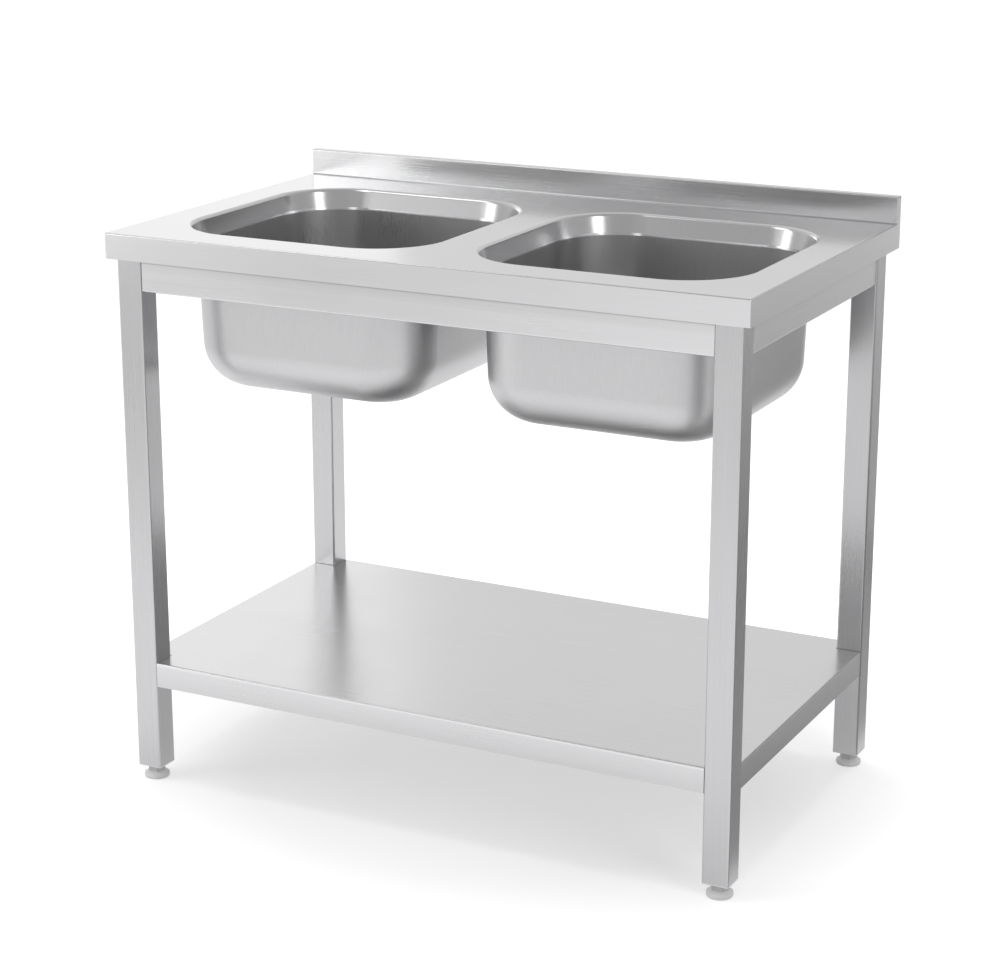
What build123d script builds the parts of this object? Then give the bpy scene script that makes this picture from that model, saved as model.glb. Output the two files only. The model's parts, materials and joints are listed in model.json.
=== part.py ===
"""Free-standing stainless steel sink table with two drawn bowls, a low shelf and screw feet."""
import os
from math import radians, tan
from build123d import *

# Table, in millimetres: X to the right, Y to the back, Z up, origin on the floor under the middle
table_width = 1000.0
table_depth = 600.0
worktop_height = 850.0

# Worktop: one folded sheet with turned-down edges and a boxed upstand along the back
worktop_sheet = 1.2
edge_height = 38.0
edge_lip = 8.0
bend_radius = 2.0
corner_radius = 3.0
upstand_height = 40.0
upstand_thickness = 15.0
upstand_foot_radius = 2.0

# Bowls: lands of flat worktop round the openings, drawn rims, tapered collars and drafted walls
side_land = 54.0
middle_land = 60.0
front_land = 61.0
back_land = 105.0
opening_corner = 110.0
rim_radius = 6.0
rim_land = 2.0
bowl_sheet = 1.2
bowl_depth = 240.0
collar_height = 22.0
collar_angle = 16.0
shoulder_radius = 16.0
wall_draft = 2.0
bottom_radius = 66.0
floor_fall = 3.0
sump_size = 104.0
sump_corner = 46.0

# Waste outlet: flange, seals, back nut and rubber plug, on the axis of the bowl's outlet
outlet_set_back = 40.0
outlet_diameter = 47.8
outlet_bore = 40.0
outlet_free_length = 12.8
outlet_groove = 1.5
outlet_groove_depth = 0.8
outlet_hole_clearance = 0.8
flange_diameter = 70.0
flange_thickness = 2.5
flange_bevel = 1.2
recess_clearance = 3.0
recess_taper = 20.0
seat_diameter = 45.0
seat_height = 11.0
strainer_bar = 4.0
seal_diameter = 66.0
seal_thickness = 2.0
washer_thickness = 3.0
back_nut_across_flats = 60.0
back_nut_height = 12.0
thread_clearance = 0.1
plug_gap = 0.35
plug_rim_diameter = 54.0
plug_rim_height = 4.0
plug_rim_round = 1.5
plug_neck_diameter = 10.0
plug_knob_diameter = 20.0
plug_height = 22.0

# Legs: square tubes set in from the worktop's edges
leg_size = 40.0
leg_wall = 1.5
leg_corner = 3.0
side_overhang = 13.0
front_overhang = 11.0
back_overhang = 19.0

# Rails: folded channels between the legs, under the worktop
rail_drop = 46.5
rail_sheet = 1.2
rail_setback = 2.0
rail_flange = 20.0
rail_tab = 32.0
rail_bolt_margin = 22.0

# Shelf: folded tray notched round the legs
shelf_height = 193.0
shelf_edge = 38.0
shelf_sheet = 1.0
shelf_setback = 1.0
shelf_lip = 12.0

# Stiffeners: hat channels under the worktop and under the shelf
stiffener_sheet = 1.2
stiffener_crown = 26.0
stiffener_brim = 14.0
stiffener_height = 20.0
stiffener_bend = 2.4
stiffener_end_gap = 12.0
shelf_stiffener_spacing = 240.0

# Fixings: hexagon bolts in blind rivet nuts, weld studs with nuts under the worktop
bolt_diameter = 6.0
bolt_length = 14.0
bolt_head_across_flats = 10.0
bolt_head_height = 4.0
bolt_hole_clearance = 0.25
rivet_nut_diameter = 9.0
rivet_nut_length = 9.0
stud_diameter = 6.0
stud_length = 14.0
stud_inset = 12.0
nut_across_flats = 10.0
nut_height = 5.0
long_rail_stud_count = 3
short_rail_stud_count = 2

# Screw feet: socket in the leg, steel stem with a moulded hexagon neck, round pad
foot_height = 23.5
socket_lip = 2.0
socket_depth = 32.0
socket_gap = 0.2
socket_corner = 4.0
socket_chamfer = 2.0
stem_diameter = 10.0
stem_length = 46.0
stem_chamfer = 1.0
neck_across_flats = 24.0
neck_chamfer = 0.8
neck_gap = 0.02
pad_diameter = 38.0
pad_height = 10.0
pad_rim_height = 6.0
pad_round = 2.0
pivot_diameter = 8.0
pivot_length = 5.0
pivot_gap = 0.05
pivot_end_gap = 0.5

# Places worked out from the sizes above
underside = worktop_height - worktop_sheet
edge_bottom = worktop_height - edge_height
rail_bottom = edge_bottom - rail_drop
rail_height = underside - rail_bottom
leg_x = table_width / 2 - side_overhang - leg_size / 2
leg_front_y = -table_depth / 2 + front_overhang + leg_size / 2
leg_back_y = table_depth / 2 - back_overhang - leg_size / 2
leg_points = {
    "front_left": (-leg_x, leg_front_y),
    "front_right": (leg_x, leg_front_y),
    "back_left": (-leg_x, leg_back_y),
    "back_right": (leg_x, leg_back_y),
}
leg_inside = leg_size - 2 * leg_wall
frame_middle_y = (leg_front_y + leg_back_y) / 2
opening_width = (table_width - middle_land) / 2 - side_land
opening_depth = table_depth - front_land - back_land
bowl_x = (middle_land + opening_width) / 2
bowl_y = (front_land - back_land) / 2
outlet_y = bowl_y + outlet_set_back
bowl_points = {"left": (-bowl_x, bowl_y), "right": (bowl_x, bowl_y)}
outlet_points = {"left": (-bowl_x, outlet_y), "right": (bowl_x, outlet_y)}
rim_height = rim_radius + rim_land
rim_lean = rim_height * tan(radians(collar_angle))
rim_inset = rim_lean + rim_radius * tan(radians(45 - collar_angle / 2))
rim_width = opening_width - 2 * rim_inset
rim_depth = opening_depth - 2 * rim_inset
rim_corner = opening_corner - rim_inset
rim_bottom = worktop_height - rim_height
collar_bottom = rim_bottom - collar_height
bowl_floor = worktop_height - bowl_depth
wall_height = collar_bottom - bowl_floor
sump_floor = bowl_floor - floor_fall
flange_radius = flange_diameter / 2
recess_depth = seal_thickness + flange_thickness
recess_floor = sump_floor - recess_depth
recess_radius = flange_radius + recess_clearance + recess_depth * tan(radians(recess_taper))
bowl_bottom = recess_floor - bowl_sheet
washer_bottom = bowl_bottom - washer_thickness
back_nut_bottom = washer_bottom - back_nut_height
outlet_end = back_nut_bottom - outlet_groove - outlet_free_length
outlet_radius = outlet_diameter / 2
outlet_hole_radius = outlet_radius + outlet_hole_clearance
seat_bottom = sump_floor - seat_height
knob_radius = plug_knob_diameter / 2
knob_middle = sump_floor + plug_height - knob_radius
neck_top = foot_height - socket_lip

os.makedirs("parts", exist_ok=True)

# Worktop: folded tray, boxed upstand, edge lips, two openings with drawn rims
with BuildPart() as worktop:
    with BuildSketch(Plane.XY.offset(worktop_height)):
        Rectangle(table_width, table_depth)
    extrude(amount=-edge_height)
    with BuildSketch(Plane.XY.offset(worktop_height)):
        with Locations((0, (table_depth - upstand_thickness) / 2)):
            Rectangle(table_width, upstand_thickness)
    extrude(amount=upstand_height)
    upright_corners = worktop.edges().filter_by(Axis.Z)
    fillet(upright_corners.group_by(Axis.Y)[0] + upright_corners.group_by(Axis.Y)[-1], corner_radius)
    upstand_foot = worktop.edges().filter_by(Axis.X).group_by(Axis.Z)[1].sort_by(Axis.Y)[-1]
    fillet(upstand_foot, upstand_foot_radius)
    top_bends = worktop.faces().filter_by(Axis.Z).sort_by(Axis.Z)[-2].edges().sort_by(Axis.Y)[:-1]
    upstand_top = worktop.faces().sort_by(Axis.Z)[-1].edges().filter_by(Axis.X)
    fillet(top_bends + upstand_top, bend_radius)
    offset(amount=-worktop_sheet, openings=worktop.faces().sort_by(Axis.Z)[0])
    with BuildSketch(Plane.XY.offset(edge_bottom)):
        RectangleRounded(table_width, table_depth, corner_radius)
        Rectangle(table_width - 2 * edge_lip, table_depth - 2 * edge_lip, mode=Mode.SUBTRACT)
    extrude(amount=worktop_sheet)
    for grown, mode in ((rim_lean + bowl_sheet, Mode.ADD), (rim_lean, Mode.SUBTRACT)):
        with BuildSketch(Plane.XY.offset(worktop_height)):
            with Locations(*bowl_points.values()):
                RectangleRounded(rim_width + 2 * grown, rim_depth + 2 * grown, rim_corner + grown)
        extrude(amount=-rim_height, taper=collar_angle, mode=mode)
    flat_faces = worktop.faces().filter_by(Axis.Z).sort_by(SortBy.AREA)
    under_face = flat_faces[-2:].sort_by(Axis.Z)[0]
    rim_roots = [edge for wire in under_face.inner_wires() for edge in wire.edges()]
    fillet(rim_roots, rim_radius - worktop_sheet)
    top_face = worktop.faces().filter_by(Axis.Z).sort_by(SortBy.AREA)[-2:].sort_by(Axis.Z)[-1]
    rim_tops = [edge for wire in top_face.inner_wires() for edge in wire.edges()]
    fillet(rim_tops, rim_radius)
worktop.part.label = "worktop"
export_step(worktop.part, "parts/worktop.step")


def bowl_form(bowl_point, outlet_point, sheet):
    """The bowl's inside as a solid, grown by the sheet to give its outside."""
    with BuildPart() as form:
        with BuildSketch(Plane.XY.offset(rim_bottom)):
            with Locations(bowl_point):
                RectangleRounded(rim_width + 2 * sheet, rim_depth + 2 * sheet, rim_corner + sheet)
        extrude(amount=-collar_height, taper=collar_angle)
        extrude(form.faces().sort_by(Axis.Z)[0], amount=wall_height + sheet, taper=wall_draft)
        fillet(form.edges().group_by(Axis.Z)[2], shoulder_radius - sheet)
        fillet(form.faces().sort_by(Axis.Z)[0].edges(), bottom_radius + sheet)
        with BuildSketch(Plane.XY.offset(sump_floor - sheet), mode=Mode.PRIVATE) as sump:
            with Locations(outlet_point):
                RectangleRounded(sump_size, sump_size, sump_corner)
        loft([form.faces().sort_by(Axis.Z)[0], sump.sketch.face()], ruled=True)
        with BuildSketch(Plane.XY.offset(sump_floor - sheet)):
            with Locations(outlet_point):
                Circle(recess_radius + sheet)
        extrude(amount=-recess_depth, taper=recess_taper)
    return form.part


# Bowls: drawn shells under the rims, floor falling to a recess with the outlet hole
for side, bowl_point in bowl_points.items():
    with BuildPart() as bowl:
        add(bowl_form(bowl_point, outlet_points[side], bowl_sheet))
        add(bowl_form(bowl_point, outlet_points[side], 0), mode=Mode.SUBTRACT)
        with BuildSketch(Plane.XY.offset(recess_floor)):
            with Locations(outlet_points[side]):
                Circle(outlet_hole_radius)
        extrude(amount=-bowl_sheet, mode=Mode.SUBTRACT)
    bowl.part.label = f"bowl_{side}"
    export_step(bowl.part, f"parts/bowl_{side}.step")

# Wastes: flange with a tapered plug seat and a strainer cross, seals, back nut and plug
for side, outlet_point in outlet_points.items():
    outlet_axis = Axis((*outlet_point, 0), (0, 0, 1))
    outlet_section = Plane((*outlet_point, 0), x_dir=(1, 0, 0), z_dir=(0, -1, 0))
    with BuildPart() as waste_flange:
        with BuildSketch(outlet_section):
            with BuildLine():
                Polyline(
                    (outlet_bore / 2, outlet_end),
                    (outlet_radius, outlet_end),
                    (outlet_radius, back_nut_bottom - outlet_groove),
                    (outlet_radius - outlet_groove_depth, back_nut_bottom - outlet_groove),
                    (outlet_radius - outlet_groove_depth, back_nut_bottom),
                    (outlet_radius, back_nut_bottom),
                    (outlet_radius, sump_floor - flange_thickness),
                    (flange_radius, sump_floor - flange_thickness),
                    (flange_radius, sump_floor - flange_bevel),
                    (flange_radius - flange_bevel, sump_floor),
                    (seat_diameter / 2, sump_floor),
                    (outlet_bore / 2, seat_bottom),
                    close=True,
                )
            make_face()
        revolve(axis=outlet_axis)
        with BuildSketch(Plane.XY.offset(seat_bottom)):
            with Locations(outlet_point):
                Rectangle(outlet_bore, strainer_bar)
                Rectangle(strainer_bar, outlet_bore)
        extrude(amount=-strainer_bar)
    waste_flange.part.label = f"waste_flange_{side}"
    export_step(waste_flange.part, f"parts/waste_flange_{side}.step")

    with BuildPart() as waste_seal:
        with BuildSketch(Plane.XY.offset(recess_floor)):
            with Locations(outlet_point):
                Circle(seal_diameter / 2)
                Circle(outlet_hole_radius, mode=Mode.SUBTRACT)
        extrude(amount=seal_thickness)
    waste_seal.part.label = f"waste_seal_{side}"
    export_step(waste_seal.part, f"parts/waste_seal_{side}.step")

    with BuildPart() as waste_washer:
        with BuildSketch(Plane.XY.offset(bowl_bottom)):
            with Locations(outlet_point):
                Circle(seal_diameter / 2)
                Circle(outlet_hole_radius, mode=Mode.SUBTRACT)
        extrude(amount=-washer_thickness)
    waste_washer.part.label = f"waste_washer_{side}"
    export_step(waste_washer.part, f"parts/waste_washer_{side}.step")

    with BuildPart() as waste_nut:
        with BuildSketch(Plane.XY.offset(washer_bottom)):
            with Locations(outlet_point):
                RegularPolygon(back_nut_across_flats / 2, 6, major_radius=False)
                Circle(outlet_radius + thread_clearance, mode=Mode.SUBTRACT)
        extrude(amount=-back_nut_height)
    waste_nut.part.label = f"waste_nut_{side}"
    export_step(waste_nut.part, f"parts/waste_nut_{side}.step")

    with BuildPart() as plug:
        with BuildSketch(outlet_section):
            with BuildLine():
                Polyline(
                    (0, seat_bottom + plug_gap),
                    (outlet_bore / 2 - plug_gap, seat_bottom + plug_gap),
                    (seat_diameter / 2 - plug_gap, sump_floor),
                    (plug_rim_diameter / 2, sump_floor),
                    (plug_rim_diameter / 2, sump_floor + plug_rim_height),
                    (plug_neck_diameter / 2, sump_floor + plug_rim_height),
                    (plug_neck_diameter / 2, knob_middle),
                    (0, knob_middle),
                    close=True,
                )
            make_face()
        revolve(axis=outlet_axis)
        fillet(plug.edges().filter_by(GeomType.CIRCLE).sort_by(SortBy.RADIUS)[-1], plug_rim_round)
        with Locations((*outlet_point, knob_middle)):
            Sphere(knob_radius)
    plug.part.label = f"plug_{side}"
    export_step(plug.part, f"parts/plug_{side}.step")

# Legs: open square tubes drilled for the rivet nuts of the rails and the shelf
rail_bolt_heights = (rail_bottom + rail_bolt_margin, rail_bottom + rail_height - rail_bolt_margin)
shelf_bolt_height = shelf_height - shelf_edge / 2
bolt_heights = (*rail_bolt_heights, shelf_bolt_height)
for corner, (x, y) in leg_points.items():
    inward_x = -1 if x > 0 else 1
    inward_y = -1 if y > frame_middle_y else 1
    with BuildPart() as leg:
        with BuildSketch(Plane.XY.offset(foot_height)):
            with Locations((x, y)):
                RectangleRounded(leg_size, leg_size, leg_corner)
                RectangleRounded(leg_inside, leg_inside, leg_corner - leg_wall, mode=Mode.SUBTRACT)
        extrude(amount=underside - foot_height)
        with BuildSketch(Plane((x, y, 0), x_dir=(0, 1, 0), z_dir=(inward_x, 0, 0))):
            with Locations(*[(0, inward_x * height) for height in bolt_heights]):
                Circle(bolt_diameter / 2 + bolt_hole_clearance)
        extrude(amount=leg_size / 2, mode=Mode.SUBTRACT)
        with BuildSketch(Plane((x, y, 0), x_dir=(1, 0, 0), z_dir=(0, inward_y, 0))):
            with Locations(*[(0, -inward_y * height) for height in bolt_heights]):
                Circle(bolt_diameter / 2 + bolt_hole_clearance)
        extrude(amount=leg_size / 2, mode=Mode.SUBTRACT)
    leg.part.label = f"leg_{corner}"
    export_step(leg.part, f"parts/leg_{corner}.step")


def fixing_planes(sheet, heights):
    """Planes on the inner side of a sheet bolted to the legs' inner faces, pointing away from the legs."""
    planes = []
    reach = leg_size / 2 + sheet
    for x, y in leg_points.values():
        inward_x = -1 if x > 0 else 1
        inward_y = -1 if y > frame_middle_y else 1
        for height in heights:
            planes.append(Plane((x + inward_x * reach, y, height), x_dir=(0, 0, 1), z_dir=(inward_x, 0, 0)))
            planes.append(Plane((x, y + inward_y * reach, height), x_dir=(0, 0, 1), z_dir=(0, inward_y, 0)))
    return planes


rail_fixings = fixing_planes(rail_sheet, rail_bolt_heights)
shelf_fixings = fixing_planes(shelf_sheet, (shelf_bolt_height,))

# Rails: each lies in its own plane, X along the rail, Y inwards from its outer face, Z up
long_span = 2 * leg_x - leg_size
short_span = leg_back_y - leg_front_y - leg_size
rail_front_y = leg_front_y - leg_size / 2 + rail_setback
rail_back_y = leg_back_y + leg_size / 2 - rail_setback
rail_side_x = leg_x + leg_size / 2 - rail_setback
rails = {
    "front": (Plane((0, rail_front_y, rail_bottom), x_dir=(1, 0, 0)), long_span, long_rail_stud_count),
    "back": (Plane((0, rail_back_y, rail_bottom), x_dir=(-1, 0, 0)), long_span, long_rail_stud_count),
    "left": (
        Plane((-rail_side_x, frame_middle_y, rail_bottom), x_dir=(0, -1, 0)),
        short_span,
        short_rail_stud_count,
    ),
    "right": (
        Plane((rail_side_x, frame_middle_y, rail_bottom), x_dir=(0, 1, 0)),
        short_span,
        short_rail_stud_count,
    ),
}
for name, (rail_plane, span, studs) in rails.items():
    inwards = Axis(rail_plane.origin, rail_plane.y_dir)
    with BuildPart() as rail:
        with BuildSketch(rail_plane):
            with Locations((0, rail_tab / 2)):
                Rectangle(span, rail_tab)
        extrude(amount=rail_height)
        fillet(rail.faces().sort_by(inwards)[0].edges(), bend_radius)
        offset(amount=-rail_sheet, openings=rail.faces().sort_by(inwards)[-1])
        with BuildSketch(rail_plane):
            with Locations((0, (rail_flange + rail_tab) / 2)):
                Rectangle(span - 2 * rail_sheet, rail_tab - rail_flange)
        extrude(amount=rail_height, mode=Mode.SUBTRACT)
        with BuildSketch(*rail_fixings):
            Circle(bolt_diameter / 2 + bolt_hole_clearance)
        extrude(amount=-rail_sheet, mode=Mode.SUBTRACT)
        with BuildSketch(rail_plane.offset(rail_height)):
            with Locations((0, stud_inset)):
                with GridLocations(span / studs, 0, studs, 1):
                    Circle(stud_diameter / 2 + bolt_hole_clearance)
        extrude(amount=-rail_sheet, mode=Mode.SUBTRACT)
    rail.part.label = f"rail_{name}"
    export_step(rail.part, f"parts/rail_{name}.step")

# Studs welded under the worktop, and the nuts that clamp the rails' top flanges to it
with BuildPart() as worktop_studs:
    for rail_plane, span, studs in rails.values():
        with BuildSketch(rail_plane.offset(rail_height)):
            with Locations((0, stud_inset)):
                with GridLocations(span / studs, 0, studs, 1):
                    Circle(stud_diameter / 2)
        extrude(amount=-stud_length)
worktop_studs.part.label = "worktop_studs"
export_step(worktop_studs.part, "parts/worktop_studs.step")

with BuildPart() as worktop_nuts:
    for rail_plane, span, studs in rails.values():
        with BuildSketch(rail_plane.offset(rail_height - rail_sheet)):
            with Locations((0, stud_inset)):
                with GridLocations(span / studs, 0, studs, 1):
                    RegularPolygon(nut_across_flats / 2, 6, major_radius=False)
                    Circle(stud_diameter / 2 + thread_clearance, mode=Mode.SUBTRACT)
        extrude(amount=-nut_height)
worktop_nuts.part.label = "worktop_nuts"
export_step(worktop_nuts.part, "parts/worktop_nuts.step")

# Shelf: tray with turned-down edges, notched to the legs' inner faces and bolted to them
shelf_width = 2 * leg_x + leg_size - 2 * shelf_setback
shelf_depth = leg_back_y - leg_front_y + leg_size - 2 * shelf_setback
with BuildPart() as shelf:
    with BuildSketch(Plane.XY.offset(shelf_height)):
        with Locations((0, frame_middle_y)):
            Rectangle(shelf_width, shelf_depth)
        with Locations(*leg_points.values()):
            Rectangle(leg_size, leg_size, mode=Mode.SUBTRACT)
    extrude(amount=-shelf_edge)
    fillet(shelf.faces().sort_by(Axis.Z)[-1].edges(), bend_radius)
    offset(amount=-shelf_sheet, openings=shelf.faces().sort_by(Axis.Z)[0])
    with BuildSketch(Plane.XY.offset(shelf_height - shelf_edge)):
        with Locations((0, frame_middle_y)):
            Rectangle(shelf_width, shelf_depth)
            Rectangle(shelf_width - 2 * shelf_lip, shelf_depth - 2 * shelf_lip, mode=Mode.SUBTRACT)
        with Locations(*leg_points.values()):
            Rectangle(leg_size, leg_size, mode=Mode.SUBTRACT)
    extrude(amount=shelf_sheet)
    with BuildSketch(*shelf_fixings):
        Circle(bolt_diameter / 2 + bolt_hole_clearance)
    extrude(amount=-shelf_sheet, mode=Mode.SUBTRACT)
shelf.part.label = "shelf"
export_step(shelf.part, "parts/shelf.step")

# Bolts through the rails' tabs and the shelf's notches, in rivet nuts set in the legs' walls
for name, fixings in {"rail_bolts": rail_fixings, "shelf_bolts": shelf_fixings}.items():
    with BuildPart() as bolts:
        with BuildSketch(*fixings):
            RegularPolygon(bolt_head_across_flats / 2, 6, major_radius=False)
        extrude(amount=bolt_head_height)
        with BuildSketch(*fixings):
            Circle(bolt_diameter / 2)
        extrude(amount=-bolt_length)
    bolts.part.label = name
    export_step(bolts.part, f"parts/{name}.step")

tube_inner_faces = [plane.offset(-rail_sheet - leg_wall) for plane in rail_fixings]
tube_inner_faces += [plane.offset(-shelf_sheet - leg_wall) for plane in shelf_fixings]
with BuildPart() as rivet_nuts:
    with BuildSketch(*tube_inner_faces):
        Circle(rivet_nut_diameter / 2)
        Circle(bolt_diameter / 2 + thread_clearance, mode=Mode.SUBTRACT)
    extrude(amount=-rivet_nut_length)
rivet_nuts.part.label = "rivet_nuts"
export_step(rivet_nuts.part, "parts/rivet_nuts.step")

# Stiffeners: hat channels, one between the bowls and two along the shelf
stiffener_front = rail_front_y + rail_flange + stiffener_end_gap
stiffener_back = rail_back_y - rail_flange - stiffener_end_gap
shelf_stiffener_length = long_span - 2 * stiffener_end_gap
shelf_underside = shelf_height - shelf_sheet
shelf_stiffener_x = -shelf_stiffener_length / 2
shelf_stiffener_front_y = frame_middle_y - shelf_stiffener_spacing / 2
shelf_stiffener_back_y = frame_middle_y + shelf_stiffener_spacing / 2
stiffeners = {
    "worktop_stiffener": (
        Plane((0, stiffener_front, underside), (-1, 0, 0), (0, 1, 0)),
        stiffener_back - stiffener_front,
    ),
    "shelf_stiffener_front": (
        Plane((shelf_stiffener_x, shelf_stiffener_front_y, shelf_underside), (0, 1, 0), (1, 0, 0)),
        shelf_stiffener_length,
    ),
    "shelf_stiffener_back": (
        Plane((shelf_stiffener_x, shelf_stiffener_back_y, shelf_underside), (0, 1, 0), (1, 0, 0)),
        shelf_stiffener_length,
    ),
}
for name, (section_plane, length) in stiffeners.items():
    crown_side = stiffener_crown / 2
    brim_edge = crown_side + stiffener_brim
    brim_level = -stiffener_sheet / 2
    crown_level = stiffener_sheet / 2 - stiffener_height
    with BuildPart() as stiffener:
        with BuildSketch(section_plane):
            with BuildLine():
                FilletPolyline(
                    (-brim_edge, brim_level),
                    (-crown_side, brim_level),
                    (-crown_side, crown_level),
                    (crown_side, crown_level),
                    (crown_side, brim_level),
                    (brim_edge, brim_level),
                    radius=stiffener_bend,
                )
            trace(line_width=stiffener_sheet)
        extrude(amount=length)
    stiffener.part.label = name
    export_step(stiffener.part, f"parts/{name}.step")

# Screw feet: a socket in each leg, a steel stem with a moulded hexagon neck, and a pad that swivels on it
socket_size = leg_inside - 2 * socket_gap
for corner, foot_point in leg_points.items():
    with BuildPart() as socket:
        with BuildSketch(Plane.XY.offset(foot_height)):
            with Locations(foot_point):
                RectangleRounded(socket_size, socket_size, socket_corner)
        extrude(amount=socket_depth)
        chamfer(socket.faces().sort_by(Axis.Z)[-1].edges(), socket_chamfer)
        with BuildSketch(Plane.XY.offset(neck_top)):
            with Locations(foot_point):
                RectangleRounded(leg_size, leg_size, leg_corner)
        extrude(amount=socket_lip)
        with BuildSketch(Plane.XY.offset(neck_top)):
            with Locations(foot_point):
                Circle(stem_diameter / 2 + thread_clearance)
        extrude(amount=socket_lip + socket_depth, mode=Mode.SUBTRACT)
    socket.part.label = f"foot_socket_{corner}"
    export_step(socket.part, f"parts/foot_socket_{corner}.step")

    with BuildPart() as neck:
        with BuildSketch(Plane.XY.offset(pad_height)):
            with Locations(foot_point):
                RegularPolygon(neck_across_flats / 2, 6, major_radius=False)
        extrude(amount=neck_top - pad_height)
        chamfer(neck.edges().filter_by(Plane.XY), neck_chamfer)
        with BuildSketch(Plane.XY.offset(pad_height)):
            with Locations(foot_point):
                Circle(stem_diameter / 2 + neck_gap)
        extrude(amount=neck_top - pad_height, mode=Mode.SUBTRACT)
    neck.part.label = f"foot_neck_{corner}"
    export_step(neck.part, f"parts/foot_neck_{corner}.step")

    with BuildPart() as stem:
        with BuildSketch(Plane.XY.offset(pad_height)):
            with Locations(foot_point):
                Circle(stem_diameter / 2)
        extrude(amount=neck_top - pad_height + stem_length)
        chamfer(stem.faces().sort_by(Axis.Z)[-1].edges(), stem_chamfer)
        with BuildSketch(Plane.XY.offset(pad_height)):
            with Locations(foot_point):
                Circle(pivot_diameter / 2)
        extrude(amount=-pivot_length)
    stem.part.label = f"foot_stem_{corner}"
    export_step(stem.part, f"parts/foot_stem_{corner}.step")

    with BuildPart() as pad:
        with BuildSketch(Plane((*foot_point, 0), x_dir=(1, 0, 0), z_dir=(0, -1, 0))):
            with BuildLine():
                Polyline(
                    (0, 0),
                    (pad_diameter / 2, 0),
                    (pad_diameter / 2, pad_rim_height),
                    (neck_across_flats / 2, pad_height),
                    (0, pad_height),
                    close=True,
                )
            make_face()
        revolve(axis=Axis((*foot_point, 0), (0, 0, 1)))
        fillet(pad.faces().sort_by(Axis.Z)[0].edges(), pad_round)
        with BuildSketch(Plane.XY.offset(pad_height)):
            with Locations(foot_point):
                Circle(pivot_diameter / 2 + pivot_gap)
        extrude(amount=-pivot_length - pivot_end_gap, mode=Mode.SUBTRACT)
    pad.part.label = f"foot_pad_{corner}"
    export_step(pad.part, f"parts/foot_pad_{corner}.step")
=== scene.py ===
"""Studio view of a stainless steel sink table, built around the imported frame, in metres."""
import json
from math import cos, pi, radians, sin

import bpy
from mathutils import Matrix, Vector


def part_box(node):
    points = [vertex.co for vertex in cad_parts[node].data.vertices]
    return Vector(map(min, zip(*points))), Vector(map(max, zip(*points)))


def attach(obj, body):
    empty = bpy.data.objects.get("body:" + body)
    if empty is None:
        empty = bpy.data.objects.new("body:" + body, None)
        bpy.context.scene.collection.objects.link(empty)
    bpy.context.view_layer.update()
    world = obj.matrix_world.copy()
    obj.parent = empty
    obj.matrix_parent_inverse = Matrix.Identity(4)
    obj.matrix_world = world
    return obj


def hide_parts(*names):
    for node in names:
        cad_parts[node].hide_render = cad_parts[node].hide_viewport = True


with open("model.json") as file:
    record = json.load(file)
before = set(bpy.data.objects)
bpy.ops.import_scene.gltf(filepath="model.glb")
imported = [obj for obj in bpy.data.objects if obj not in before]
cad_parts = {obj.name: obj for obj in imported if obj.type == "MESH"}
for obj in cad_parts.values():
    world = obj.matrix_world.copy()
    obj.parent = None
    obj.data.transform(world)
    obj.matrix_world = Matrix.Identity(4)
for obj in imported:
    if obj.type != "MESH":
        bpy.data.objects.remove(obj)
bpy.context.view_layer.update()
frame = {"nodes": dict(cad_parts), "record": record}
nodes = frame["nodes"]
scene = bpy.context.scene

CORNERS = ("front_left", "front_right", "back_left", "back_right")
SIDES = ("left", "right")
WHITE = (1, 1, 1, 1)

# Noise for the materials, by place on the part in metres
EVEN = (1, 1, 1)
NOISE_ROUGHNESS = 0.6
NOISE_LOW, NOISE_HIGH = 0.3, 0.7


def new_material(name):
    """A material, its node tree and its principled shader."""
    material = bpy.data.materials.new(name)
    material.use_nodes = True
    tree = material.node_tree
    return material, tree, tree.nodes["Principled BSDF"]


def add(tree, kind, values=None, operation=None):
    """A new node with its operation and the values of its sockets."""
    made = tree.nodes.new(kind)
    if operation:
        made.operation = operation
    for socket, value in (values or {}).items():
        made.inputs[socket].default_value = value
    return made


def grey(value, blue=0.0):
    """A grey with a little more blue or less."""
    return value, value, value + blue


def place_on_part(tree):
    """The point's place on the part, in metres."""
    return add(tree, "ShaderNodeTexCoord").outputs["Object"]


def height_on_part(tree):
    """The point's height on the part, in metres."""
    split = add(tree, "ShaderNodeSeparateXYZ")
    tree.links.new(place_on_part(tree), split.inputs["Vector"])
    return split.outputs["Z"]


def grain(tree, stretch, scale, detail):
    """Noise by place on the part, stretched along the brushing."""
    mapping = add(tree, "ShaderNodeMapping", {"Scale": stretch})
    noise = add(tree, "ShaderNodeTexNoise",
                {"Scale": scale, "Detail": detail, "Roughness": NOISE_ROUGHNESS})
    tree.links.new(place_on_part(tree), mapping.inputs["Vector"])
    tree.links.new(mapping.outputs["Vector"], noise.inputs["Vector"])
    return noise.outputs["Fac"]


def spread(tree, noise, low, high):
    """A noise spread between two limits."""
    ranged = add(tree, "ShaderNodeMapRange", {"From Min": NOISE_LOW, "From Max": NOISE_HIGH,
                                              "To Min": low, "To Max": high})
    tree.links.new(noise, ranged.inputs["Value"])
    return ranged.outputs["Result"]


def ramp(tree, value, stops):
    """A colour by a value, from stops of a position and a colour."""
    colours = add(tree, "ShaderNodeValToRGB")
    elements = colours.color_ramp.elements
    while len(elements) < len(stops):
        elements.new(1.0)
    for element, (position, colour) in zip(elements, stops):
        element.position = position
        element.color = (*colour, 1)
    tree.links.new(value, colours.inputs["Fac"])
    return colours.outputs["Color"]


def mottled(tree, noise, dark, light):
    """A colour between dark and light by a noise."""
    return ramp(tree, noise, [(NOISE_LOW, dark), (NOISE_HIGH, light)])


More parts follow.
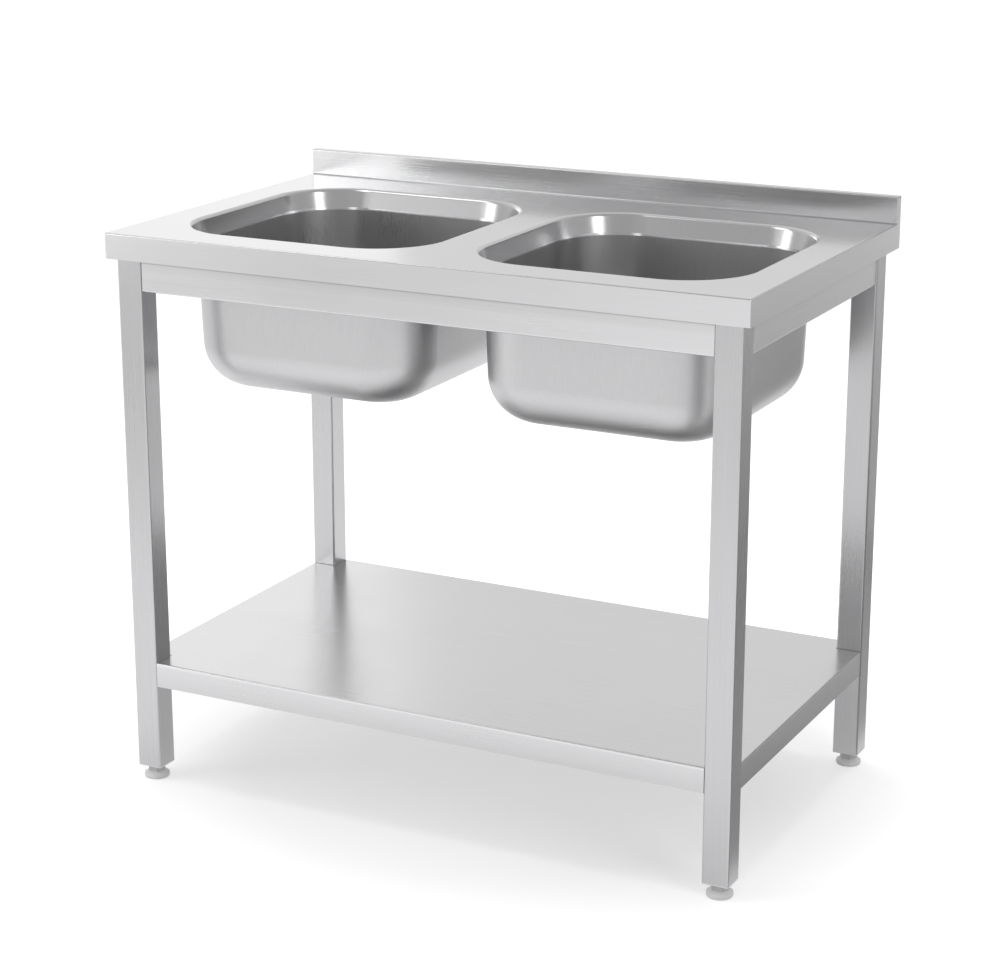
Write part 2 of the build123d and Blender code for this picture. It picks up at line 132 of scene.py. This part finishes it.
def bump(tree, shader, value, strength, distance):
    """Small relief from a value."""
    relief = add(tree, "ShaderNodeBump", {"Strength": strength, "Distance": distance})
    tree.links.new(value, relief.inputs["Height"])
    tree.links.new(relief.outputs["Normal"], shader.inputs["Normal"])


def painted_shade_by_height(tree, colour, low, high, stops):
    """A colour darkened by height as painted shade: stops of a share of the way up and a share of
    the colour.
    """
    way = add(tree, "ShaderNodeMapRange", {"From Min": low, "From Max": high})
    tree.links.new(height_on_part(tree), way.inputs["Value"])
    shares = [(position, grey(share)) for position, share in stops]
    dimmed = add(tree, "ShaderNodeVectorMath", operation="MULTIPLY")
    tree.links.new(colour, dimmed.inputs[0])
    tree.links.new(ramp(tree, way.outputs["Result"], shares), dimmed.inputs[1])
    return dimmed.outputs["Vector"]


STREAK_SCALE, STREAK_DETAIL, STREAK_RELIEF = 1.0, 5.0, 0.0004
CLOUD_SCALE, CLOUD_DETAIL = 5.0, 2.0


def steel(name, brushing, tones, rough, strength, shade=None, blue=0.005):
    """Brushed stainless steel: fine streaks along the brushing and slow changes of sheen."""
    material, tree, shader = new_material(name)
    shader.inputs["Metallic"].default_value = 1.0
    streaks = grain(tree, brushing, STREAK_SCALE, STREAK_DETAIL)
    clouds = grain(tree, EVEN, CLOUD_SCALE, CLOUD_DETAIL)
    dark, light = tones
    colour = mottled(tree, streaks, grey(dark, blue), grey(light, blue))
    if shade:
        colour = painted_shade_by_height(tree, colour, *shade)
    tree.links.new(colour, shader.inputs["Base Color"])
    low, high = rough
    blend = add(tree, "ShaderNodeMath", operation="ADD")
    tree.links.new(spread(tree, streaks, low / 2, high / 2), blend.inputs[0])
    tree.links.new(spread(tree, clouds, low / 2, high / 2), blend.inputs[1])
    tree.links.new(blend.outputs["Value"], shader.inputs["Roughness"])
    bump(tree, shader, streaks, strength, STREAK_RELIEF)
    return material


SKIN_DETAIL, SKIN_STRENGTH, SKIN_RELIEF = 3.0, 0.15, 0.0003


def plastic(name, tones, rough, scale, blue=0.0):
    """Moulded plastic or rubber with a fine, slightly mottled skin."""
    material, tree, shader = new_material(name)
    skin = grain(tree, EVEN, scale, SKIN_DETAIL)
    dark, light = tones
    colour = mottled(tree, skin, grey(dark, blue), grey(light, blue))
    tree.links.new(colour, shader.inputs["Base Color"])
    tree.links.new(spread(tree, skin, *rough), shader.inputs["Roughness"])
    bump(tree, shader, skin, SKIN_STRENGTH, SKIN_RELIEF)
    return material


# Streaks to the metre: few along the brushing, many across it
ALONG_X, ALONG_Y, ALONG_Z = (4, 900, 900), (900, 4, 900), (900, 900, 4)
DRAWN, POLISHED = (900, 900, 40), (700, 700, 60)

# Sheets: darkest and lightest tone, lowest and highest roughness, strength of the relief
SHEET, SHEET_ROUGH, SHEET_BUMP = (0.62, 0.665), (0.22, 0.29), 0.015
sheet_x = steel("sheet_along_x", ALONG_X, SHEET, SHEET_ROUGH, SHEET_BUMP)
top_x = steel("top_along_x", ALONG_X, SHEET, (0.13, 0.19), 0.01)
sheet_y = steel("sheet_along_y", ALONG_Y, SHEET, SHEET_ROUGH, SHEET_BUMP)
# Rails get painted shade, a dark line over a softer band, under the worktop's edge, whose underside
# is at 0.812
RAIL_PAINTED_SHADE = (0.792, 0.812, [(0.0, 1.0), (0.62, 0.93), (0.74, 0.88), (0.82, 0.60)])
rail_x = steel("rail_along_x", ALONG_X, SHEET, SHEET_ROUGH, SHEET_BUMP, RAIL_PAINTED_SHADE)
# The shelf's turned-down edge, from 0.155 to 0.193, gets painted shade, darker towards the floor
SHELF_EDGE_PAINTED_SHADE = (0.155, 0.193, [(0.0, 0.75), (0.85, 0.83), (0.97, 1.0)])
# The shelf's steel is the sheets' steel painted a little lighter, as painted light
shelf_painted_lighter_x = steel("shelf_along_x_painted_lighter", ALONG_X, (0.66, 0.705), SHEET_ROUGH, SHEET_BUMP, SHELF_EDGE_PAINTED_SHADE)
rail_y = steel("rail_along_y", ALONG_Y, SHEET, SHEET_ROUGH, SHEET_BUMP, RAIL_PAINTED_SHADE)
tube_z = steel("tube_along_z", ALONG_Z, (0.475, 0.515), (0.25, 0.33), 0.02)
# The bowls' inside and outside are one steel in two copies: the inside is painted lighter and the
# outside darker, as painted light and shade; the outside is also rougher
bowl_outer_painted_darker = steel("bowl_satin", DRAWN, (0.50, 0.54), (0.34, 0.42), 0.015)
bowl_inner_painted_lighter = steel("bowl_inner_painted_lighter", DRAWN, (0.61, 0.65), (0.26, 0.32), 0.015)
collar_steel = steel("collar_polished", POLISHED, (0.62, 0.66), (0.18, 0.24), 0.01)
fixing_steel = steel("fixing_bright", ALONG_Z, (0.52, 0.62), (0.22, 0.32), 0.03, blue=0.01)
waste_metal = steel("waste_polished", ALONG_Z, (0.66, 0.74), (0.08, 0.16), 0.01, blue=0.01)
# The foot's pad and neck are one moulded plastic in two copies: the pad's copy is painted lighter
# against the leg's shadow and the neck's darker, as painted light and shade
foot_plastic = plastic("foot_plastic", (0.84, 0.89), (0.42, 0.55), 900)
neck_plastic_painted_darker = plastic("neck_plastic_painted_darker", (0.58, 0.64), (0.42, 0.55), 900)
nut_plastic = plastic("nut_plastic", (0.66, 0.74), (0.40, 0.50), 700, blue=-0.01)
rubber = plastic("rubber", (0.018, 0.035), (0.55, 0.70), 800)


def dress(node, *materials):
    """Gives a CAD node new materials, the first of them to all its faces."""
    slots = nodes[node].data.materials
    slots.clear()
    for material in materials:
        slots.append(material)
    for face in nodes[node].data.polygons:
        face.material_index = 0


dress("worktop", sheet_x, sheet_y, collar_steel, top_x)
dress("shelf", shelf_painted_lighter_x)
for name in ("shelf_stiffener_front", "shelf_stiffener_back"):
    dress(name, sheet_x)
dress("worktop_stiffener", sheet_y)
for name in ("front", "back"):
    dress("rail_" + name, rail_x)
for name in SIDES:
    dress("rail_" + name, rail_y)
for corner in CORNERS:
    dress("leg_" + corner, tube_z)
    dress("foot_socket_" + corner, foot_plastic)
    dress("foot_neck_" + corner, neck_plastic_painted_darker)
    dress("foot_pad_" + corner, foot_plastic)
    dress("foot_stem_" + corner, fixing_steel)
for side in SIDES:
    dress("bowl_" + side, bowl_outer_painted_darker, collar_steel, bowl_inner_painted_lighter)
    dress("waste_flange_" + side, waste_metal)
    dress("waste_nut_" + side, nut_plastic)
    dress("waste_seal_" + side, rubber)
    dress("waste_washer_" + side, rubber)
    dress("plug_" + side, rubber)
for name in ("rail_bolts", "shelf_bolts", "rivet_nuts", "worktop_studs", "worktop_nuts"):
    dress(name, fixing_steel)

# Worktop: brushing turns on its ends, its top is smoother, and the drawn rims are polished
END_SLOT, RIM_SLOT, TOP_SLOT = 1, 2, 3
FACING = 0.9
ENDS_X = 0.49
RIM_LOW, RIM_HIGH = 0.841, 0.8499
OPENINGS_X, OPENINGS_FRONT, OPENINGS_BACK = 0.46, -0.26, 0.22
TOP_LOW, TOP_HIGH = 0.849, 0.851
for face in nodes["worktop"].data.polygons:
    x, y, z = face.center
    if abs(face.normal.x) > FACING and abs(x) > ENDS_X:
        face.material_index = END_SLOT
    elif (RIM_LOW < z < RIM_HIGH and abs(x) < OPENINGS_X
          and OPENINGS_FRONT < y < OPENINGS_BACK):
        face.material_index = RIM_SLOT
    elif face.normal.z > FACING and TOP_LOW < z < TOP_HIGH:
        face.material_index = TOP_SLOT

# Bowls: a polished collar, and inner faces, which look to a point high in the bowl and take the
# steel painted lighter
COLLAR_SLOT, INNER_SLOT = 1, 2
COLLAR_BOTTOM = 0.8175
HEART_HEIGHT = 0.80
for side in SIDES:
    low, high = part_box("bowl_" + side)
    heart = (low + high) / 2
    heart.z = HEART_HEIGHT
    for face in nodes["bowl_" + side].data.polygons:
        if face.center.z > COLLAR_BOTTOM:
            face.material_index = COLLAR_SLOT
        elif (heart - face.center).dot(face.normal) > 0:
            face.material_index = INNER_SLOT

SHARP_ANGLE = radians(25)


def turned(name, middle, rings, segments, hollow):
    """A mesh round a vertical axis through rings of a height and a reach by angle.

    It is closed on itself where it is hollow, and otherwise capped at both ends.
    """
    points = []
    for height, reach in rings:
        for step in range(segments):
            angle = 2 * pi * step / segments
            radius = reach(angle)
            x, y = middle[0] + radius * cos(angle), middle[1] + radius * sin(angle)
            points.append((x, y, height))
    count = len(rings)
    faces = []
    for row in range(count if hollow else count - 1):
        low, high = row * segments, (row + 1) % count * segments
        for step in range(segments):
            after = (step + 1) % segments
            faces.append((low + step, low + after, high + after, high + step))
    if not hollow:
        faces.append(tuple(reversed(range(segments))))
        faces.append(tuple(range((count - 1) * segments, count * segments)))
    mesh = bpy.data.meshes.new(name)
    mesh.from_pydata(points, [], faces)
    mesh.shade_smooth()
    mesh.set_sharp_from_angle(angle=SHARP_ANGLE)
    piece = bpy.data.objects.new(name, mesh)
    scene.collection.objects.link(piece)
    return piece


def plain(height, radius):
    """A round ring."""
    return height, lambda angle: radius


RINGS_TO_A_TURN = 6
FLANK_SLOPE, CREST_WIDTH = 1.3, 0.15


def thread(low, high, crest, depth, pitch):
    """Rings of a right-handed screw thread."""
    def ring(height):
        def reach(angle):
            phase = (height / pitch - angle / (2 * pi)) % 1
            return crest - depth * min(1, max(0, FLANK_SLOPE * abs(2 * phase - 1) - CREST_WIDTH))
        return height, reach
    count = round(RINGS_TO_A_TURN * (high - low) / pitch)
    return [ring(low + (high - low) * step / count) for step in range(count + 1)]


# Foot stems: the plain CAD rods become screws, threaded above the neck
STEM_PITCH, STEM_DEPTH, STEM_CHAMFER = 0.0015, 0.0006, 0.001
STEM_SEGMENTS = 32
PIVOT_RADIUS = 0.004
for corner in CORNERS:
    low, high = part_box("foot_stem_" + corner)
    neck_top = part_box("foot_neck_" + corner)[1].z
    pad_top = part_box("foot_pad_" + corner)[1].z
    crest = (high.x - low.x) / 2
    rings = [plain(low.z, PIVOT_RADIUS), plain(pad_top, PIVOT_RADIUS), plain(pad_top, crest)]
    rings += thread(neck_top, high.z - STEM_CHAMFER, crest, STEM_DEPTH, STEM_PITCH)
    rings += [plain(high.z, crest - STEM_CHAMFER)]
    stem = turned("stem_screw_" + corner, (low + high) / 2, rings, STEM_SEGMENTS, False)
    stem.data.materials.append(fixing_steel)
    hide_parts("foot_stem_" + corner)
    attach(stem, "stem_" + corner)

# Waste tails: a pipe thread round the free end below the back nut
TAIL_PITCH, TAIL_RIDGE, TAIL_SINK = 0.0023, 0.0003, 0.0005
TAIL_SEGMENTS = 64
MM = 0.001
for mount in frame["record"]["mounts"]:
    if mount["name"].startswith("waste_tail_"):
        side = mount["name"].split("_")[-1]
        low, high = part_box("waste_flange_" + side)
        radius, top = mount["dims"]["r_mm"] * MM, low.z + mount["dims"]["length_mm"] * MM
        bottom = low.z + TAIL_SINK
        rings = [plain(bottom, radius - TAIL_SINK)]
        rings += thread(bottom, top, radius + TAIL_RIDGE, TAIL_RIDGE, TAIL_PITCH)
        rings += [plain(top, radius - TAIL_SINK)]
        tail = turned("tail_thread_" + side, (low + high) / 2, rings, TAIL_SEGMENTS, True)
        tail.data.materials.append(waste_metal)
        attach(tail, "table")

# Floor: pale paper that keeps the shadow, with a glow that the camera and the metal see,
# weaker near the table, which paints shadow under and around it
FLOOR_SIZE, FLOOR_DROP = 120, 0.0002
PAPER_DARK, PAPER_LIGHT = (0.59, 0.585, 0.595), (0.61, 0.605, 0.615)
PAPER_SCALE, PAPER_DETAIL = 0.7, 2.0
MATT = 0.9
GLOW_WITH_PAINTED_SHADOW = {"From Min": 0.40, "From Max": 0.78, "To Min": 0.45, "To Max": 0.66}
bpy.ops.mesh.primitive_plane_add(size=FLOOR_SIZE, location=(0, 0, -FLOOR_DROP))
floor = bpy.context.object
floor.name = "floor"
paper, tree, shader = new_material("floor_paper")
fibres = grain(tree, EVEN, PAPER_SCALE, PAPER_DETAIL)
tree.links.new(mottled(tree, fibres, PAPER_DARK, PAPER_LIGHT), shader.inputs["Base Color"])
shader.inputs["Roughness"].default_value = MATT
shader.inputs["Specular IOR Level"].default_value = 0.0
shader.inputs["Emission Color"].default_value = WHITE
rays = add(tree, "ShaderNodeLightPath").outputs
seen = add(tree, "ShaderNodeMath", operation="ADD")
tree.links.new(rays["Is Camera Ray"], seen.inputs[0])
tree.links.new(rays["Is Glossy Ray"], seen.inputs[1])
shown = add(tree, "ShaderNodeMath", operation="ADD")
shown.use_clamp = True
tree.links.new(seen.outputs["Value"], shown.inputs[0])
tree.links.new(rays["Is Transmission Ray"], shown.inputs[1])
away = add(tree, "ShaderNodeVectorMath", operation="LENGTH")
tree.links.new(place_on_part(tree), away.inputs[0])
# The glow grows with distance from the table's middle: painted shadow near the table
glow_with_painted_shadow = add(tree, "ShaderNodeMapRange", GLOW_WITH_PAINTED_SHADOW)
tree.links.new(away.outputs["Value"], glow_with_painted_shadow.inputs["Value"])
emitted = add(tree, "ShaderNodeMath", operation="MULTIPLY")
tree.links.new(shown.outputs["Value"], emitted.inputs[0])
tree.links.new(glow_with_painted_shadow.outputs["Result"], emitted.inputs[1])
tree.links.new(emitted.outputs["Value"], shader.inputs["Emission Strength"])
floor.data.materials.append(paper)

# World: an even pale room, brighter overhead and to the back left
BRIGHT_SIDE = (-0.30, 0.60, 0.25)
SKY = [(0.0, (0.48, 0.48, 0.485)), (0.7, (0.86, 0.86, 0.86))]
world = bpy.data.worlds.new("studio")
scene.world = world
world.use_nodes = True
tree = world.node_tree
background = tree.nodes["Background"]
towards = add(tree, "ShaderNodeVectorMath", {1: BRIGHT_SIDE}, "DOT_PRODUCT")
tree.links.new(add(tree, "ShaderNodeTexCoord").outputs["Generated"], towards.inputs[0])
tree.links.new(ramp(tree, towards.outputs["Value"], SKY), background.inputs["Color"])
background.inputs["Strength"].default_value = 1.0


def softbox(name, place, target, width, height, level, mirrored=True):
    """A rectangular lamp aimed at a point, as bright as its level, mirrored by the metal or not."""
    lamp = bpy.data.lights.new(name, "AREA")
    lamp.shape = "RECTANGLE"
    lamp.size, lamp.size_y = width, height
    lamp.energy = level * pi * width * height
    holder = bpy.data.objects.new(name, lamp)
    holder.location = place
    aim = Vector(target) - Vector(place)
    holder.rotation_euler = aim.to_track_quat("-Z", "Y").to_euler()
    holder.visible_camera = False
    holder.visible_glossy = mirrored
    scene.collection.objects.link(holder)


SINK = (0, 0, 0.85)
softbox("overhead", (0, 0.05, 4.0), (0, 0.05, 0), 2.0, 2.0, 5.0, False)
softbox("back_left", (-3.3, 3.2, 1.7), (0, 0, 0.8), 2.4, 1.8, 0.30)
softbox("front_right", (2.6, -1.35, 1.6), SINK, 0.7, 1.3, 3.6)
softbox("front_left", (-2.5, -1.75, 1.25), SINK, 0.7, 1.2, 3.6)
softbox("front_fill", (-1.6, -2.1, 1.78), SINK, 0.9, 0.6, 0.34)
softbox("front_low", (-2.0, -2.1, 1.1), SINK, 0.6, 0.7, 3.5)
softbox("front_low_right", (-0.3, -2.1, 1.15), SINK, 0.5, 0.3, 1.5)
softbox("front_top", (-1.2, -0.9, 2.6), SINK, 0.8, 0.8, 2.5)

FLAG_LOW, FLAG_HIGH = 0.3, 0.7


def flag(name, first, last, dark, pale, light=0.0):
    """A grey card between opposite corners that only the metal sees.

    It is paler upwards, between two heights, and may give some light of its own.
    """
    (x0, y0, z0), (x1, y1, z1) = first, last
    corners = [(x0, y0, z0), (x0, y1, z0), (x1, y1, z1), (x1, y0, z1)]
    mesh = bpy.data.meshes.new(name)
    mesh.from_pydata(corners, [], [(0, 1, 2, 3)])
    card = bpy.data.objects.new(name, mesh)
    scene.collection.objects.link(card)
    material, tree, shader = new_material(name)
    shades = [(FLAG_LOW, grey(dark)), (FLAG_HIGH, grey(pale))]
    tree.links.new(ramp(tree, height_on_part(tree), shades), shader.inputs["Base Color"])
    shader.inputs["Roughness"].default_value = MATT
    shader.inputs["Emission Color"].default_value = WHITE
    shader.inputs["Emission Strength"].default_value = light
    mesh.materials.append(material)
    card.visible_camera = False
    card.visible_shadow = False
    card.visible_diffuse = False


flag("flag_right", (0.78, -0.3, 0.0), (0.78, 1.4, 1.0), 0.50, 0.85)
flag("flag_behind", (0.77, 0.9, 0.87), (0.77, 3.0, 1.3), 0.10, 0.14)
flag("flag_floor", (0.53, -0.3, 0.0), (0.78, 1.4, 0.0), 0.51, 0.51)
flag("flag_front", (-2.6, -4.5, 0.0), (-1.25, -1.2, 0.0), 0.85, 0.85, 0.12)

# Camera at the photograph's viewing angle
CAMERA_PLACE = (1.644, -3.253, 1.532)
LOOKS_DOWN, LOOKS_LEFT = 16.53, 26.96
lens = bpy.data.cameras.new("camera")
lens.lens = 91.0
lens.sensor_width = 36.0
camera = bpy.data.objects.new("camera", lens)
camera.location = CAMERA_PLACE
camera.rotation_euler = (radians(90 - LOOKS_DOWN), 0, radians(LOOKS_LEFT))
scene.collection.objects.link(camera)
scene.camera = camera

scene.view_settings.view_transform = "Standard"
